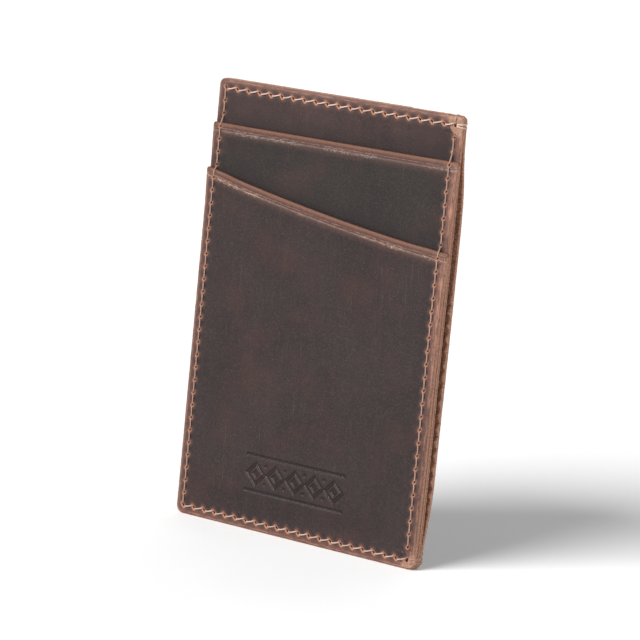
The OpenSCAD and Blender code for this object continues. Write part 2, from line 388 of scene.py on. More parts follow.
def upper_outline():
    spread = HALF_W + 0.25
    return rounded([(-HALF_W, 0, BOTTOM_R), (HALF_W, 0, BOTTOM_R), (HALF_W, UPPER_MOUTH - WIDENING, 0),
                    (spread, UPPER_MOUTH, TIP_R), (-spread, UPPER_MOUTH, TIP_R),
                    (-HALF_W, UPPER_MOUTH - WIDENING, 0)])


def lower_outline():
    spread = HALF_W + 0.3
    mouth = [(u, lower_mouth(u), 0) for u in np.linspace(HALF_W - 2, 2 - HALF_W, 34)]
    right, left = lower_mouth(HALF_W), lower_mouth(-HALF_W)
    return rounded([(-HALF_W, 0, BOTTOM_R), (HALF_W, 0, BOTTOM_R), (HALF_W, right - WIDENING, 0),
                    (spread, right, TIP_R), *mouth, (-spread, left, TIP_R), (-HALF_W, left - WIDENING, 0)])


def back_pocket_outline():
    return rounded([(-HALF_W, 0, BOTTOM_R), (BACK_MOUTH, 0, TIP_R), (BACK_MOUTH, HEIGHT, TIP_R),
                    (-HALF_W, HEIGHT, TOP_R)])


PANELS = [
    Panel("front_base_panel", FRONT, BASE_T, no_lift, full_outline(),
          bare=lambda u, v: v - UPPER_MOUTH),
    Panel("upper_pocket_panel", FRONT, POCKET_T, upper_lift, upper_outline(),
          mouth=lambda u, v: UPPER_MOUTH - v,
          bare=lambda u, v: v - lower_mouth(u)),
    Panel("lower_pocket_panel", FRONT, POCKET_T, lower_lift, lower_outline(),
          mouth=lambda u, v: (lower_mouth(u) - v) * math.cos(math.atan(LOWER_MOUTH_FALL / HALF_W / 2))),
    Panel("back_base_panel", BACK, BASE_T, back_base_lift, full_outline(),
          bare=lambda u, v: u - BACK_MOUTH),
    Panel("back_pocket_panel", BACK, POCKET_T, back_pocket_lift, back_pocket_outline(),
          mouth=lambda u, v: BACK_MOUTH - u),
]


def to_world(u, v, d, side):
    """Points of the flat plane, at heights d over it, as metres in the CAD frame."""
    return np.stack([u * MM, MEET_Y * MM + side * d * MM, v * MM], axis=-1)


def inward(loop):
    """Unit normals of an anticlockwise loop, pointing inside."""
    tangent = np.roll(loop, -1, 0) - np.roll(loop, 1, 0)
    normal = np.stack([-tangent[:, 1], tangent[:, 0]], axis=1)
    return normal / np.linalg.norm(normal, axis=1)[:, None]


def inside(points, loop):
    """Even-odd test of points against a closed loop."""
    result = np.zeros(len(points), bool)
    a, b = loop, np.roll(loop, -1, 0)
    for (x0, y0), (x1, y1) in zip(a, b):
        if y0 == y1:
            continue
        crosses = (y0 > points[:, 1]) != (y1 > points[:, 1])
        result ^= crosses & (points[:, 0] < (x1 - x0) * (points[:, 1] - y0) / (y1 - y0) + x0)
    return result


def rubbed(u, v):
    """Wear: 0.35 on a plain face, more at edges and ends of mouths, over 0.9 where it is crushed."""
    corners = [(HALF_W, 0, 5.5, 1.5), (HALF_W, HEIGHT - 1, 5.5, 1.7), (-HALF_W, 0, 4.0, 0.8),
               (-HALF_W, HEIGHT, 3.0, 0.4), (-HALF_W, LOWER_MOUTH_CLOSED, 4.0, 0.6),
               (HALF_W, UPPER_MOUTH, 3.0, 0.5)]
    wear = 0.35 + 0.55 * bump(HALF_W - u, 2.6) * smooth((v - 30) / 30) + 0.25 * bump(v, 3)
    wear = wear + 0.15 * bump(HALF_W + u, 2.4)
    for cu, cv, reach, share in corners:
        wear = np.maximum(wear, share * bump(np.hypot(u - cu, v - cv), reach))
    return wear


def loop_distance(points, loop):
    """Distance to a closed loop, taken through every second point of it."""
    nearest = np.full(len(points), 99.0)
    for a, b in zip(loop[::2], np.roll(loop[::2], -1, 0)):
        nearest = np.minimum(nearest, segment_distance(points[:, 0], points[:, 1], a, b))
    return nearest


def oval(centre, slant, half, width, count):
    """Points round an awl slit, half long and width wide from its centre."""
    turn = np.linspace(0, 2 * math.pi, count, endpoint=False)
    side = np.array([-slant[1], slant[0]])
    return centre + np.outer(np.cos(turn) * half, slant) + np.outer(np.sin(turn) * width, side)


def lattice(step, low, high, rng):
    """Slightly shaken triangular grid of points between two corners."""
    us = np.arange(low[0], high[0], step)
    vs = np.arange(low[1], high[1], step * 0.866)
    u, v = np.meshgrid(us, vs)
    u = u + (np.arange(len(vs)) % 2)[:, None] * step / 2
    points = np.stack([u.ravel(), v.ravel()], axis=1)
    return points + rng.uniform(-0.12, 0.12, points.shape) * step


def fill(loops, points):
    """Triangles between an outer loop and its holes, using every given point."""
    edges, count = [], 0
    for loop in loops:
        n = len(loop)
        edges += [(count + i, count + (i + 1) % n) for i in range(n)]
        count += n
    given = np.concatenate(loops + [points])
    out = delaunay_2d_cdt([Vector(p) for p in given.tolist()], edges, [], 0, 1e-6, True)
    source = np.array([o[0] for o in out[3]])
    faces = source[np.array([list(face) for face in out[2]])]
    spare = np.flatnonzero((faces < count).all(axis=1))
    centres = given[faces[spare]].mean(axis=1)
    held = inside(centres, loops[0])
    for hole in loops[1:]:
        held &= ~inside(centres, hole)
    keep = np.ones(len(faces), bool)
    keep[spare] = held
    return given, faces[keep].tolist()


def detail(panel, u, v):
    """How close the points of a panel must lie: 0 where it is covered, 4 where its relief is finest."""
    edge = np.minimum(edge_distance(u, v), np.abs(panel.mouth_distance(u, v)))
    need = np.where((edge < 4.4) | (seam_distance(u, v) < 1.8), 2, 1)
    need = np.where(corner_distance(u, v) < 3.6, 3, need)
    if panel.name == "lower_pocket_panel":
        need = np.where(mark_distance(u, v) < 0.8, 4, need)
    return np.where(panel.hidden(u, v), 0, need)


def scatter(panel, rim, rng):
    """Points inside a panel: close where its relief is fine, sparse where it is covered."""
    low, high = rim.min(0), rim.max(0)
    areas = [(2.4, low, high, 0), (1.0, low, high, 1), (0.42, low, high, 2)]
    areas += [(0.24, corner - 4.5, corner + 4.5, 3) for corner in CORNER_HOLES]
    if panel.name == "lower_pocket_panel":
        areas.append((0.16, MARK_AT - MARK_REACH, MARK_AT + MARK_REACH, 4))
    chosen = []
    for step, start, end, level in areas:
        p = lattice(step, start, end, rng)
        chosen.append(p[detail(panel, p[:, 0], p[:, 1]) == level])
    if panel.mouth:
        p = lattice(0.16, low, high, rng)
        mouth = panel.mouth_distance(p[:, 0], p[:, 1])
        chosen.append(p[(np.abs(mouth - CREASE_AT) < 0.3) & (rng.random(len(p)) < 0.6)])
    p = np.concatenate(chosen)
    p = p[inside(p, rim) & (slit_distance(p[:, 0], p[:, 1]) > 0.62)]
    return p[loop_distance(p, rim) > 0.16]


def mesh_object(name, points, faces, values):
    """A smooth object, with one point attribute for each label in values."""
    mesh = bpy.data.meshes.new(name)
    mesh.from_pydata(points.tolist(), [], faces)
    for label, column in values.items():
        attribute = mesh.attributes.new(label, "FLOAT", "POINT")
        attribute.data.foreach_set("value", column.astype(np.float32))
    mesh.polygons.foreach_set("use_smooth", [True] * len(mesh.polygons))
    return bpy.data.objects.new(name, mesh)


LABELS = ("raw", "edge_mm", "slit_mm", "mouth_mm", "rub", "shade", "mark")


class Skin:
    """Collects the vertices, faces and leather attributes of one closed panel."""

    def __init__(self):
        self.points, self.faces, self.data, self.count = [], [], [], 0

    def add(self, points, *columns):
        """Adds vertices with their LABELS values, padded with zeros, and returns the first's index."""
        n = len(points)
        columns += (0,) * (len(LABELS) - len(columns))
        columns = [np.broadcast_to(np.asarray(c, float), (n,)) for c in columns]
        self.points.append(points)
        self.data.append(np.stack(columns, axis=1))
        self.count += n
        return self.count - n

    def band(self, first, second, n):
        """Quads between two rings of n vertices."""
        self.faces += [[first + i, first + (i + 1) % n, second + (i + 1) % n, second + i]
                       for i in range(n)]

    def build(self, name):
        """The finished object, with all its faces turned outward."""
        values = dict(zip(LABELS, np.concatenate(self.data).T))
        skin = mesh_object(name, np.concatenate(self.points), self.faces, values)
        work = bmesh.new()
        work.from_mesh(skin.data)
        bmesh.ops.recalc_face_normals(work, faces=work.faces)
        work.to_mesh(skin.data)
        work.free()
        return skin


def panel_holes(panel):
    """The slits that lie well inside a panel."""
    centres = np.array([cut[0] for cut in SLITS])
    held = inside(centres, panel.outline)
    held &= panel.mouth_distance(centres[:, 0], centres[:, 1]) > 0.7
    return [cut for cut, keep in zip(SLITS, held) if keep]


def outer_face(panel, rim, holes, rng):
    """Points and triangles of a panel's outer face, with rings of points round every slit."""
    mouths = [oval(c, s, half, w, SLIT_SIDES) for c, s, half, w in holes]
    rings = [oval(c, s, half + g, w + g, 14) for c, s, half, w in holes for g in (0.13, 0.3, 0.52)]
    points = np.concatenate(rings)
    points = points[inside(points, rim)]
    free = ~panel.hidden(points[:, 0], points[:, 1]) & (loop_distance(points, rim) > 0.12)
    return fill([rim] + mouths, np.concatenate([points[free], scatter(panel, rim, rng)]))


def inner_face(panel, rim, holes, rng):
    """Points and triangles of a panel's inner face, close only where the open side is gathered."""
    mouths = [oval(c, s, half * 0.8, w * 0.8, SLIT_SIDES) for c, s, half, w in holes]
    points = lattice(2.4, panel.outline.min(0), panel.outline.max(0), rng)
    points = points[inside(points, rim)]
    points = points[(loop_distance(points, rim) > 0.8) & (slit_distance(points[:, 0], points[:, 1]) > 0.9)]
    if panel.name == "back_base_panel":
        strip = lattice(0.5, (HALF_W - 1.9, 3), (HALF_W - 0.6, HEIGHT - 3), rng)
        points = np.concatenate([points[points[:, 0] < HALF_W - 2.2], strip])
    return fill([rim] + mouths, points)


def add_cut_edge(skin, panel, normals, rounding, outer, inner, rng):
    """Rings from the rim of the outer face, round the cut edge, to the rim of the inner face."""
    loop, n = panel.outline, len(panel.outline)
    mouth = panel.mouth_distance(loop[:, 0], loop[:, 1])
    torn = 1 + 3 * crushed(loop[:, 0], loop[:, 1])
    above = outer
    for inset, share, raw in CUT_RINGS:
        ring = loop + normals * rounding * inset
        ring = ring + normals * (rng.normal(0, 0.018, n) * torn)[:, None]
        below = skin.add(panel.at(ring, share), raw, 0, 9, mouth)
        skin.band(above, below, n)
        above = below
    skin.band(above, inner, n)


def add_slit_walls(skin, panel, holes, above, below):
    """Walls of the slits, narrowest a little under the outer face."""
    for centre, slant, half, width in holes:
        waist = oval(centre, slant, half * 0.72, width * 0.7, SLIT_SIDES)
        # The waist ring is marked as inside the slit, so the leather paints it with painted shade.
        middle = skin.add(panel.at(waist, 0.4), 1, 3, -1, 9)
        skin.band(above, middle, SLIT_SIDES)
        skin.band(middle, below, SLIT_SIDES)
        above += SLIT_SIDES
        below += SLIT_SIDES


def build_panel(panel, seed):
    """One closed leather panel: relief face, rounded cut edge, inner face and pierced slits."""
    rng = np.random.default_rng(seed)
    loop, normals = panel.outline, inward(panel.outline)
    n = len(loop)
    covered = panel.hidden(loop[:, 0], loop[:, 1])
    rounding = np.where(covered, COVERED_ROUND, EDGE_ROUND)[:, None]
    holes = panel_holes(panel)
    skin = Skin()

    rim = loop + normals * rounding
    points, faces = outer_face(panel, rim, holes, rng)
    u, v = points[:, 0], points[:, 1]
    outer = skin.add(panel.at(points, 0), 0, loop_distance(points, loop), slit_distance(u, v),
                     panel.mouth_distance(u, v), rubbed(u, v), panel.shade(u, v),
                     pressed(u, v) if panel.name == "lower_pocket_panel" else 0)
    skin.faces += [[outer + k for k in face] for face in faces]

    back_rim = loop + normals * (0.3 if panel.lift in (no_lift, back_base_lift) else 0.05)
    points, faces = inner_face(panel, back_rim, holes, rng)
    # The inner face takes half the cut colour; the extra cut colour within a few millimetres of the open
    # side is painted light in the gap between the halves.
    inner = skin.add(panel.at(points, 1), 0.55 + 0.4 * bump(HALF_W - points[:, 0], 2), 3, 3, 9)
    skin.faces += [[inner + k for k in reversed(face)] for face in faces]

    add_cut_edge(skin, panel, normals, rounding, outer, inner, rng)
    add_slit_walls(skin, panel, holes, outer + n, inner + n)
    return skin.build(panel.name + "_leather")


# ---- thread ----

def taut(heights):
    """Upper hull of evenly spaced heights: how a tight thread spans what lies under it."""
    spans = heights.copy()
    n = len(heights)
    for i in range(n):
        for j in range(i + 2, n):
            t = np.arange(1, j - i) / (j - i)
            spans[i + 1:j] = np.maximum(spans[i + 1:j], heights[i] * (1 - t) + heights[j] * t)
    return spans


def seam_path(row, surface):
    """Centreline of a seam's thread as (u, v, d): dashes over the leather, dips into each slit."""
    path = []
    for i in range(len(row.holes) - 1):
        a, b = row.holes[i] + row.entry, row.holes[i + 1] - row.entry
        share = np.linspace(0, 1, 11)
        line = a + (b - a) * share[:, None]
        bow = np.sin(share * math.pi) * 0.07
        line = line - bow[:, None] * np.array([-row.along[1], row.along[0]])
        height = taut(surface(line[:, 0], line[:, 1]))
        height = height + THREAD_R * (0.1 + 0.7 * np.sin(share * math.pi) ** 0.5)
        if i == 0:
            path.append([*(a - row.entry * 0.5), height[0] - 0.95])
        path.append([*(a - row.entry * 0.12), height[0] - 0.3])
        path += [[*p, h] for p, h in zip(line[1:-1], height[1:-1])]
        path.append([*(b + row.entry * 0.12), height[-1] - 0.3])
        path.append([*(b + row.entry * 0.5), height[-1] - 0.95])
        if i < len(row.holes) - 2:
            path.append([*(row.holes[i + 1] + row.entry * 0.5), height[-1] - 0.95])
    return np.array(path)


def curve_through(points, step):
    """Catmull-Rom curve through points, sampled about every step."""
    p = np.concatenate([2 * points[:1] - points[1:2], points, 2 * points[-1:] - points[-2:-1]])
    out = []
    for i in range(1, len(p) - 2):
        pieces = max(2, round(np.linalg.norm(p[i + 1] - p[i]) / step))
        t = (np.arange(pieces) / pieces)[:, None]
        a = 2 * p[i]
        b = p[i + 1] - p[i - 1]
        c = 2 * p[i - 1] - 5 * p[i] + 4 * p[i + 1] - p[i + 2]
        d = -p[i - 1] + 3 * p[i] - 3 * p[i + 1] + p[i + 2]
        out.append(0.5 * (a + b * t + c * t * t + d * t * t * t))
    out.append(points[-1:])
    return np.concatenate(out)


def twisted_tube(path, radius, sides=12, plies=3, lay=1.5):
    """Vertices, faces and ply phase of a thread of twisted plies along path, in metres."""
    tangent = np.gradient(path, axis=0)
    tangent /= np.linalg.norm(tangent, axis=1)[:, None]
    normal = np.cross(tangent[0], [0.3, 0.8, 0.5])
    normals = [normal / np.linalg.norm(normal)]
    for t in tangent[1:]:
        nxt = normals[-1] - t * (normals[-1] @ t)
        normals.append(nxt / np.linalg.norm(nxt))
    normals = np.array(normals)
    binormals = np.cross(tangent, normals)
    travel = np.concatenate([[0], np.cumsum(np.linalg.norm(np.diff(path, axis=0), axis=1))])
    turn = np.linspace(0, 2 * math.pi, sides, endpoint=False)
    phase = plies * turn[None, :] - (travel / (lay * MM) * 2 * math.pi)[:, None]
    ply = np.abs(np.cos(phase / 2))
    r = radius * (0.84 + 0.2 * ply)
    ring = np.cos(turn)[None, :, None] * normals[:, None] + np.sin(turn)[None, :, None] * binormals[:, None]
    points = path[:, None] + ring * r[:, :, None]
    faces = []
    for i in range(len(path) - 1):
        k = i * sides
        faces += [[k + j, k + (j + 1) % sides, k + sides + (j + 1) % sides, k + sides + j]
                  for j in range(sides)]
    faces.append(list(range(sides - 1, -1, -1)))
    faces.append([(len(path) - 1) * sides + j for j in range(sides)])
    return points.reshape(-1, 3), faces, ply.ravel()


def thread_object(name, paths, soil, radius=THREAD_R):
    """One object from several thread centrelines in metres, with how soiled each of them is."""
    points, faces, plies, soils, count = [], [], [], [], 0
    for path, dirt in zip(paths, soil):
        p, f, ply = twisted_tube(curve_through(path, 0.17 * MM), radius * MM)
        points.append(p)
        plies.append(ply)
        soils.append(np.full(len(p), dirt))
        faces += [[count + k for k in face] for face in f]
        count += len(p)
    values = {"ply": np.concatenate(plies), "soil": np.concatenate(soils)}
    return mesh_object(name, np.concatenate(points), faces, values)


PANEL = {panel.name: panel for panel in PANELS}


def front_surface(u, v):
    """Outermost leather of the front at each point."""
    d = PANEL["front_base_panel"].over(u, v)
    d = np.where(v < UPPER_MOUTH, PANEL["upper_pocket_panel"].over(u, v), d)
    return np.where(v < lower_mouth(u), PANEL["lower_pocket_panel"].over(u, v), d)


def back_surface(u, v):
    """Outermost leather of the back at each point."""
    d = PANEL["back_base_panel"].over(u, v)
    return np.where(u < BACK_MOUTH, PANEL["back_pocket_panel"].over(u, v), d)


def front_inner(u, v):
    """Inner threads lie in a groove where the halves touch, and stand up where they part."""
    return -0.3 + 0.4 * centre_open(u, v)


def back_inner(u, v):
    return front_inner(u, v) - back_base_lift(u, v)


def seam_object(name, rows, surface, side, soil):
    """The thread that runs along some rows, with how soiled it is in each of them."""
    paths = [to_world(*seam_path(row, surface).T, side) for row in rows]
    return thread_object(name, paths, soil)


def wrap(centre, heading, spread, drift=0.0, proud=0.06):
    """Thread that leaves a corner hole, goes round the edge and returns on the other face.

    spread is how far it strays sideways by the time it reaches the edge, drift how much further
    it has strayed on the back, and proud how high its middle lies over the leather.
    """
    heading = np.array(heading, float)
    side = np.array([-heading[1], heading[0]])
    out = SEAM_INSET + 0.02
    there = np.array([(0.2, -0.9), (0.3, -0.25), (0.6, 0.05), (1.1, 0.1), (1.7, 0.03),
                      (out - 0.3, -0.08), (out - 0.06, -0.45)])

    def over_face(surface, stray, face):
        """Points from the hole to the edge over one face."""
        u, v = (centre + heading * there[:, :1] + side * stray * (0.3 + 0.7 * there[:, :1] / out)).T
        return to_world(u, v, surface(u, v) + there[:, 1] + proud, face)

    front = over_face(front_surface, spread, FRONT)
    back = over_face(back_surface, spread + drift, BACK)
    return np.concatenate([front, back[::-1]])


# ---- materials ----

class Nodes:
    """Short calls for building a node tree."""

    def __init__(self, name):
        self.material = bpy.data.materials.new(name)
        self.material.use_nodes = True
        self.tree = self.material.node_tree
        self.tree.nodes.clear()

    def put(self, socket, value):
        if isinstance(value, bpy.types.NodeSocket):
            self.tree.links.new(value, socket)
        else:
            socket.default_value = value

    def node(self, kind, out=0, inputs=None, **settings):
        made = self.tree.nodes.new("ShaderNode" + kind)
        for key, value in settings.items():
            setattr(made, key, value)
        for key, value in (inputs or {}).items():
            self.put(made.inputs[key], value)
        return made.outputs[out]

    def math(self, operation, *values):
        return self.node("Math", inputs=dict(enumerate(values)), operation=operation)

    def times(self, a, b):
        return self.math("MULTIPLY", a, b)

    def plus(self, a, b):
        return self.math("ADD", a, b)

    def minus(self, a, b):
        return self.math("SUBTRACT", a, b)

    def attribute(self, name):
        return self.node("Attribute", 2, attribute_name=name)

    def span(self, value, low, high, at_low, at_high):
        """Straight slope from at_low to at_high as the value goes from low to high."""
        return self.node("MapRange", inputs={0: value, 1: low, 2: high, 3: at_low, 4: at_high})

    def ramp(self, value, low, high):
        """1 at low and before it, 0 at high and past it, smooth between."""
        return self.node("MapRange", inputs={0: value, 1: low, 2: high, 3: 1.0, 4: 0.0},
                         interpolation_type="SMOOTHSTEP")

    def noise(self, place, scale, detail=3.0, roughness=0.55):
        return self.node("TexNoise", inputs={"Vector": place, "Scale": scale, "Detail": detail,
                                             "Roughness": roughness})

    def mix(self, share, a, b):
        """The colour a, with a share of b over it."""
        made = self.tree.nodes.new("ShaderNodeMix")
        made.data_type = "RGBA"
        self.put(made.inputs[0], share)
        self.put(made.inputs[6], a)
        self.put(made.inputs[7], b)
        return made.outputs[2]

    def surface(self, shader):
        output = self.tree.nodes.new("ShaderNodeOutputMaterial")
        self.put(output.inputs["Surface"], shader)

    def millimetres(self):
        place = self.node("TexCoord", 3)
        return self.node("VectorMath", inputs={0: place, "Scale": 1 / MM}, operation="SCALE")


def stretched(n, place, factors):
    return n.node("VectorMath", inputs={0: place, 1: factors}, operation="MULTIPLY")


def turned(n, place, degrees):
    """Coordinates turned in the plane of the wallet."""
    return n.node("VectorRotate", inputs={"Vector": place, "Angle": math.radians(degrees)},
                  rotation_type="Y_AXIS")


def scuffs(n, place, degrees, step, threshold):
    """Fine straight scratches that lean by degrees, gathered in patches."""
    lines = n.noise(stretched(n, turned(n, place, degrees), (step, step, step * 0.035)), 1.0, 2.0, 0.5)
    patches = n.ramp(n.noise(turned(n, place, degrees), 0.11, 2.0), 0.58, 0.44)
    return n.times(n.ramp(lines, threshold, threshold - 0.05), patches)


def near(n, value, centre, reach, fade):
    """1 within reach of centre, falling to 0 over fade."""
    away = n.math("ABSOLUTE", n.minus(value, centre))
    return n.ramp(away, reach, reach + fade)


def lines_beside(n, place, distance, step, along_step):
    """Noise drawn out along an edge, from the distance to that edge."""
    x, z = n.node("SeparateXYZ", 0, {0: place}), n.node("SeparateXYZ", 2, {0: place})
    where = n.node("CombineXYZ", inputs={0: n.times(n.plus(x, z), along_step), 1: n.times(distance, step)})
    return n.noise(where, 1.0, 4.0, 0.6)


WARM = (0.046, 0.0175, 0.0125, 1)
DRAWN = (0.075, 0.032, 0.024, 1)
SCUFF = (0.085, 0.05, 0.04, 1)
# Dark colour of pores and pressed leather, also used for painted shade beside a covering pocket.
PORE_AND_SHADE = (0.007, 0.004, 0.0035, 1)
CRACK = (0.05, 0.016, 0.009, 1)
PULLED = (0.155, 0.072, 0.054, 1)
# Burnished tan, also the colour of the painted highlight line beside the edge.
BURNISH_AND_HIGHLIGHT = (0.36, 0.178, 0.118, 1)
TAN = (0.36, 0.165, 0.092, 1)
PALE = (0.37, 0.235, 0.165, 1)
DUSTY = (0.22, 0.17, 0.15, 1)
FAINT = (0.12, 0.09, 0.075, 1)
LIP = (0.130, 0.052, 0.030, 1)
# Painted shade inside the slits.
SLIT_SHADE = (0.03, 0.009, 0.004, 1)
CUT_DARK = (0.20, 0.085, 0.052, 1)
CUT_LIGHT = (0.62, 0.33, 0.22, 1)
THREAD_PALE = (0.66, 0.46, 0.38, 1)
THREAD_PLY_SHADE = (0.26, 0.14, 0.10, 1)
THREAD_SOILED = (0.25, 0.135, 0.095, 1)
PAPER_LOW = (0.93, 0.93, 0.93, 1)
PAPER_HIGH = (0.95, 0.95, 0.95, 1)


def face_colour(n, place, dark, light, marks):
    """Mottled wax finish with scuffs and a few drawn marks."""
    cloud = n.noise(place, 0.055, 4.0, 0.6)
    fleck = n.noise(place, 1.1, 6.0, 0.7)
    colour = n.mix(n.ramp(cloud, 0.64, 0.38), dark, light)
    colour = n.mix(n.times(n.ramp(fleck, 0.68, 0.42), 0.5), colour, light)
    speck = n.noise(place, 2.2, 5.0, 0.85)
    colour = n.mix(n.times(n.ramp(speck, 0.64, 0.54), 0.35), colour, SCUFF)
    colour = n.mix(n.times(n.ramp(speck, 0.36, 0.48), 0.6), colour, PORE_AND_SHADE)
    warm = n.ramp(n.noise(place, 0.09, 3.0, 0.5), 0.68, 0.5)
    colour = n.mix(n.times(warm, 0.3), colour, WARM)
    drawn = n.noise(stretched(n, place, (0.45, 0.45, 0.09)), 1.0, 5.0, 0.65)
    colour = n.mix(n.times(n.ramp(drawn, 0.7, 0.5), marks), colour, DRAWN)
    for degrees, step, threshold in ((4, 3.2, 0.7), (82, 3.8, 0.72), (-37, 3.0, 0.73)):
        colour = n.mix(n.times(scuffs(n, place, degrees, step, threshold), 0.25), colour, SCUFF)
    return colour


class Leather:
    """Waxed pull-up leather: dark, mottled face that turns tan where it is bent, pierced or cut.

    dust is the colour of the crumbled line along its mouth and lip_wear how worn that mouth is;
    halo is the reach of the tan round each slit; fading paints it lighter towards the closed side and
    darker towards the open side, as painted light falling across it.
    """

    def __init__(self, name, dark, light, marks=0.1, dust=PALE, lip_wear=1.0, halo=0.36, fading=0.0):
        n = Nodes(name)
        self.n, self.dust, self.lip_wear, self.halo = n, dust, lip_wear, halo
        self.place = n.millimetres()
        labels = [n.attribute(label) for label in LABELS]
        self.raw, self.edge, self.slit, self.mouth, self.rub, self.shade, self.mark = labels
        self.wobble = n.times(n.minus(n.noise(self.place, 0.9, 5.0, 0.75), 0.5), 2.0)
        self.crumbs = n.noise(self.place, 1.7, 7.0, 0.75)
        self.fibre = n.noise(stretched(n, self.place, (1.0, 3.0, 1.0)), 2.2, 5.0, 0.7)
        self.crush = n.minus(1.0, n.ramp(self.rub, 0.9, 1.08))
        self.outer = n.minus(n.plus(self.edge, self.wobble), n.times(self.rub, 1.5))
        self.pull = self.pulled_share()
        colour = self.painted_light_across(face_colour(n, self.place, dark, light, marks), dark, light, fading)
        for step in (self.worn_edge, self.crushed_corners, self.worn_mouth, self.pierced,
                     self.pressed_and_shaded, self.cut):
            colour = step(colour)
        self.finish(colour)
        self.material = n.material

    def pulled_share(self):
        """How far the wax is pulled pale, from the edge inwards, less so at a mouth."""
        n = self.n
        pulled = n.times(n.ramp(self.outer, -0.3, 1.9), n.plus(0.35, n.times(self.rub, 0.6)))
        pulled = n.times(pulled, n.span(self.crumbs, 0.36, 0.6, 0.45, 1.1))
        return n.times(pulled, n.span(self.mouth, 1.5, 3.0, 0.45, 1.0))

    def painted_light_across(self, colour, dark, light, share):
        n = self.n
        # Painted light: lighter towards the closed side and darker towards the open side.
        across = n.node("SeparateXYZ", 0, {0: self.place})
        colour = n.mix(n.times(n.ramp(across, -30, 25), share), colour, light)
        return n.mix(n.times(n.ramp(across, 34, 0), share), colour, dark)

    def worn_edge(self, colour):
        """Pale margin, burnished rim and a thin light line beside it, part wear, part painted highlight."""
        n = self.n
        lines = lines_beside(n, self.place, self.edge, 3.0, 0.3)
        colour = n.mix(n.math("MINIMUM", self.pull, 1.0), colour, PULLED)
        rim = n.times(n.ramp(self.outer, -0.9, 0.5), n.ramp(lines, 0.72, 0.34))
        rim = n.times(rim, n.plus(0.4, n.times(self.rub, 0.6)))
        colour = n.mix(n.math("MINIMUM", rim, 1.0), colour, BURNISH_AND_HIGHLIGHT)
        # Painted highlight, partly wear: a thin light line where the face rounds over near the edge.
        edge_highlight_line = n.times(near(n, self.edge, 0.62, 0.05, 0.3), n.ramp(lines, 0.66, 0.4))
        edge_highlight_line = n.times(edge_highlight_line, n.minus(0.4, n.times(n.ramp(self.mouth, 1.5, 3.0), 0.4)))
        return n.mix(edge_highlight_line, colour, BURNISH_AND_HIGHLIGHT)

    def crushed_corners(self, colour):
        """Torn, cracked leather in three tones."""
        n = self.n
        colour = n.mix(n.times(self.crush, n.ramp(self.crumbs, 0.6, 0.46)), colour, TAN)
        colour = n.mix(n.times(self.crush, n.ramp(self.wobble, -0.3, 0.0)), colour, CRACK)
        torn = n.ramp(n.noise(self.place, 1.6, 5.0, 0.75), 0.47, 0.39)
        return n.mix(n.times(n.times(self.crush, torn), 0.55), colour, PALE)

    def worn_mouth(self, colour):
        """Fade, dark lip, crumbled crease, second worn line and groove along a pocket's mouth."""
        n, mouth, wobble, worn = self.n, self.mouth, self.wobble, self.lip_wear
        lines = lines_beside(n, self.place, n.plus(mouth, n.times(wobble, 0.08)), 6.0, 0.75)
        fade = n.times(n.ramp(n.plus(mouth, wobble), 1.7, 3.8), 0.3 * worn)
        colour = n.mix(fade, colour, PULLED)
        lip = n.ramp(n.plus(mouth, n.times(wobble, 0.3)), 0.3 * worn, 0.85 * worn)
        colour = n.mix(n.times(lip, 0.9), colour, LIP)
        patches = n.ramp(n.noise(self.place, 0.13, 4.0, 0.6), 0.6, 0.42)
        broken = n.times(n.ramp(lines, 0.58, 0.46), n.plus(0.3, n.times(patches, 0.7)))
        crumbling = n.times(near(n, mouth, CREASE_AT, 0.3, 0.45), n.times(broken, patches))
        colour = n.mix(n.times(crumbling, n.ramp(self.crumbs, 0.56, 0.44)), colour, self.dust)
        frayed = n.plus(mouth, n.times(wobble, 0.12))
        crease = n.times(near(n, frayed, CREASE_AT, 0.05, 0.17), n.plus(0.2, broken))
        colour = n.mix(n.times(crease, 0.75), colour, self.dust)
        second = n.times(near(n, frayed, 1.3, 0.04, 0.14), n.ramp(lines, 0.6, 0.42))
        colour = n.mix(n.times(second, 0.45 * worn), colour, BURNISH_AND_HIGHLIGHT)
        groove = n.times(near(n, frayed, 0.95, 0.07, 0.14), n.ramp(lines, 0.38, 0.52))
        return n.mix(n.times(groove, 0.7), colour, CRACK)

    def pierced(self, colour):
        """Wide stain and narrow tan halo round each slit."""
        n, halo = self.n, self.halo
        slit = n.plus(self.slit, n.times(self.wobble, 0.35 * halo))
        stain = n.times(n.ramp(slit, 0.1, 0.7 + 1.5 * halo), 0.15 + 0.6 * halo)
        colour = n.mix(stain, colour, PULLED)
        return n.mix(n.times(n.ramp(slit, 0.4 * halo, halo), 0.8), colour, TAN)

    def pressed_and_shaded(self, colour):
        """Darker in the pressed ornament, and painted shade beside the mouth of the covering pocket."""
        n = self.n
        # The ornament's darkening is the pressed leather's own; the darkening by the covering pocket is
        # painted shade.
        return n.mix(n.times(n.math("MAXIMUM", self.mark, self.shade), 0.5), colour, PORE_AND_SHADE)

    def cut(self, colour):
        """Fibrous cut edges and inner face, darker at a mouth, and slit walls painted dark as painted
        shade.
        """
        n = self.n
        cut = n.mix(n.ramp(self.fibre, 0.36, 0.66), CUT_LIGHT, CUT_DARK)
        cut = n.mix(n.times(n.ramp(self.mouth, 0.3, 1.2), 0.85), cut, LIP)
        colour = n.mix(self.raw, colour, cut)
        # Painted shade: the walls inside each slit are painted near black.
        return n.mix(n.ramp(self.slit, -0.35, -0.04), colour, SLIT_SHADE)

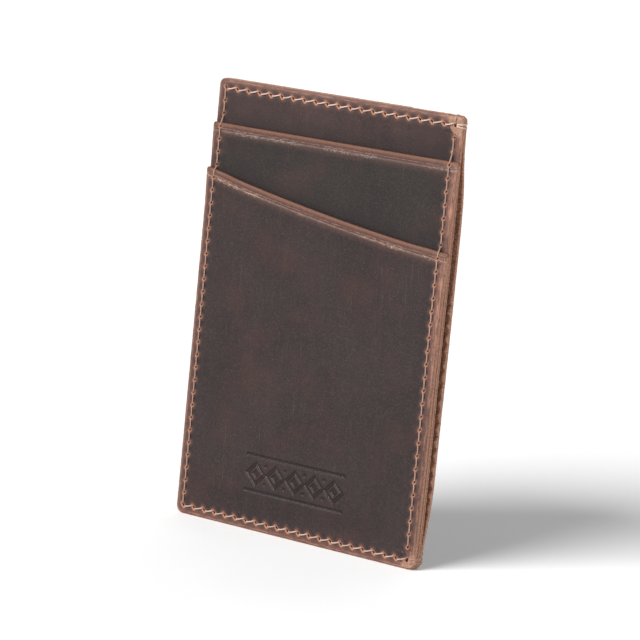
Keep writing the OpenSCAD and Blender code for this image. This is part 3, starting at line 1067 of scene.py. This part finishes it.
    def finish(self, colour):
        """Pores, fibre and crumbs as fine relief under a soft waxy shine."""
        n = self.n
        pores = n.node("TexVoronoi", inputs={"Vector": self.place, "Scale": 2.2}, feature="SMOOTH_F1")
        grain = n.noise(self.place, 1.6, 7.0, 0.7)
        height = n.plus(n.times(pores, 0.35), grain)
        height = n.plus(height, n.times(n.times(self.fibre, self.raw), 1.6))
        height = n.plus(height, n.times(n.times(self.crumbs, self.crush), 4.0))
        normal = n.node("Bump", inputs={"Strength": 0.6, "Distance": 0.09 * MM, "Height": height})
        rough = n.plus(n.span(grain, 0.3, 0.7, 0.44, 0.6), n.times(self.pull, 0.12))
        rough = n.minus(rough, n.times(self.mark, 0.2))
        n.surface(n.node("BsdfPrincipled", inputs={"Base Color": colour, "Roughness": rough,
                                                   "Normal": normal, "Specular IOR Level": 0.28}))


def thread_material():
    """Pale twisted sewing thread, with painted shade between its plies."""
    n = Nodes("sewing_thread")
    place = n.millimetres()
    fibre = n.noise(place, 6.0, 4.0, 0.7)
    # Painted shade in the grooves between the plies.
    colour = n.mix(n.ramp(n.attribute("ply"), 0.1, 0.75), THREAD_PALE, THREAD_PLY_SHADE)
    dirt = n.noise(place, 0.35, 4.0, 0.6)
    soiled = n.plus(n.times(n.ramp(dirt, 0.4, 0.62), 0.3), n.attribute("soil"))
    colour = n.mix(n.math("MINIMUM", soiled, 0.92), colour, THREAD_SOILED)
    normal = n.node("Bump", inputs={"Strength": 0.6, "Distance": 0.03 * MM, "Height": fibre})
    rough = n.span(fibre, 0, 1, 0.55, 0.8)
    n.surface(n.node("BsdfPrincipled", inputs={"Base Color": colour, "Roughness": rough,
                                               "Normal": normal, "Sheen Weight": 0.3}))
    return n.material


def floor_material():
    """Matt pale paper."""
    n = Nodes("studio_paper")
    tone = n.noise(n.node("TexCoord", 3), 40.0, 3.0)
    n.surface(n.node("BsdfPrincipled", inputs={"Base Color": n.mix(tone, PAPER_LOW, PAPER_HIGH),
                                               "Roughness": 0.9, "Specular IOR Level": 0.1}))
    return n.material


# ---- the wallet ----

# The strip is given a painted light gradient across it.
STRIP = Leather("strip_leather", (0.014, 0.007, 0.0065, 1), (0.042, 0.022, 0.020, 1),
                marks=0.3, fading=0.5).material
SMOKE = Leather("upper_pocket_leather", (0.0113, 0.0080, 0.0071, 1), (0.017, 0.0122, 0.0111, 1),
                dust=DUSTY).material
BROWN = Leather("lower_pocket_leather", (0.0155, 0.0088, 0.0084, 1), (0.0212, 0.0128, 0.0122, 1)).material
BACKED = Leather("back_leather", (0.019, 0.0098, 0.0088, 1), (0.030, 0.0165, 0.0150, 1),
                 dust=FAINT, lip_wear=0.45, halo=0.62).material
THREAD = thread_material()

PANEL_LOOKS = {
    "front_base_panel": (STRIP, "base_leather"),
    "upper_pocket_panel": (SMOKE, "pocket_leather"),
    "lower_pocket_panel": (BROWN, "pocket_leather"),
    "back_base_panel": (BACKED, "base_leather"),
    "back_pocket_panel": (BACKED, "pocket_leather"),
}


def wear(obj, node, material, slot):
    """Links a piece, gives it its material, and lets it stand for a CAD node."""
    bpy.context.scene.collection.objects.link(obj)
    obj.data.materials.append(material)
    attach(obj, "root")
    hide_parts(node)


for seed, panel in enumerate(PANELS):
    material, slot = PANEL_LOOKS[panel.name]
    wear(build_panel(panel, seed), panel.name, material, slot)

EDGE_ROWS = [TOP, BOTTOM, CLOSED]
SEAMS = {
    "edge_seam_front": (EDGE_ROWS, front_surface, FRONT, (0.12, 0.3, 0.85)),
    "edge_seam_back": (EDGE_ROWS, back_surface, BACK, (0.8, 0.8, 0.8)),
    "front_half_outer": ([OPEN], front_surface, FRONT, [0.8]),
    "front_half_inner": ([OPEN], front_inner, BACK, [0.4]),
    "back_half_outer": ([OPEN], back_surface, BACK, [0.8]),
    "back_half_inner": ([OPEN], back_inner, FRONT, [0.4]),
}
for seam, (rows, surface, side, soil) in SEAMS.items():
    stitches = seam_object(seam + "_stitches", rows, surface, side, soil)
    wear(stitches, seam + "_thread", THREAD, "thread")

TOP_HOLE, BOTTOM_HOLE = CORNER_HOLES
TACKS = {
    "top_corner": ([wrap(TOP_HOLE, (1, 0), 0.25, 0.2), wrap(TOP_HOLE, (1, 0), -0.62, 0.1),
                    wrap(TOP_HOLE, (0, 1), 0.1, 0.15, 0.0)], (0.1, 0.25, 0.7), THREAD_R * 1.25),
    "bottom_corner": ([wrap(BOTTOM_HOLE, (1, 0), 0.6, 0.1, -0.14),
                       wrap(BOTTOM_HOLE, (1, 0), -0.45, -0.1, -0.08)], (1.0, 1.0), THREAD_R * 1.2),
}
for corner, (strands, soil, radius) in TACKS.items():
    whipping = thread_object(corner + "_whipping", strands, soil, radius)
    wear(whipping, corner + "_tack", THREAD, "thread")


# ---- floor, light and camera ----

def add_floor():
    bpy.ops.mesh.primitive_circle_add(vertices=96, radius=30, fill_type="NGON")
    floor = bpy.context.object
    floor.name = "studio_floor"
    floor.data.materials.append(floor_material())


def direction(azimuth, elevation):
    """Unit vector that points away from the wallet; azimuth 0 is out of its front."""
    a, e = math.radians(azimuth), math.radians(elevation)
    return Vector((math.sin(a) * math.cos(e), -math.cos(a) * math.cos(e), math.sin(e)))


def add_sun(name, azimuth, elevation, strength, breadth):
    """Soft light from a direction round the wallet. All its angles are in degrees."""
    data = bpy.data.lights.new(name, "SUN")
    data.energy = strength
    data.angle = math.radians(breadth)
    light = bpy.data.objects.new(name, data)
    light.rotation_euler = (-direction(azimuth, elevation)).to_track_quat("-Z", "Y").to_euler()
    bpy.context.scene.collection.objects.link(light)


def set_world(strength):
    """Even white light of the given strength, seen as pure white behind the floor."""
    world = bpy.data.worlds.new("studio")
    world.use_nodes = True
    nodes, links = world.node_tree.nodes, world.node_tree.links
    seen = nodes.new("ShaderNodeLightPath").outputs["Is Camera Ray"]
    level = nodes.new("ShaderNodeMapRange")
    links.new(seen, level.inputs[0])
    level.inputs[3].default_value = strength
    level.inputs[4].default_value = 1.05
    back = nodes["Background"]
    back.inputs["Color"].default_value = (1, 1, 1, 1)
    links.new(level.outputs[0], back.inputs["Strength"])
    bpy.context.scene.world = world


def add_camera(azimuth, elevation, roll, distance, lens, aim):
    """Camera at a distance from the point it aims at, turned by roll degrees."""
    towards = direction(azimuth, elevation)
    data = bpy.data.cameras.new("photo_angle")
    data.lens = lens
    data.clip_start = 0.01
    camera = bpy.data.objects.new("photo_angle", data)
    turn = (-towards).to_track_quat("-Z", "Y").to_matrix().to_4x4()
    camera.matrix_world = (Matrix.Translation(Vector(aim) + towards * distance) @ turn
                           @ Matrix.Rotation(math.radians(roll), 4, "Z"))
    bpy.context.scene.collection.objects.link(camera)
    bpy.context.scene.camera = camera


add_floor()
set_world(0.15)
add_sun("key", azimuth=-14, elevation=31, strength=4.6, breadth=36)
add_sun("fill", azimuth=80, elevation=22, strength=1.0, breadth=60)
add_sun("back", azimuth=205, elevation=36, strength=0.7, breadth=60)
add_camera(azimuth=34.7, elevation=8.85, roll=5.6, distance=0.8236, lens=196.9,
           aim=(0, 0, HEIGHT / 2 * MM))
bpy.context.scene.view_settings.view_transform = "Standard"
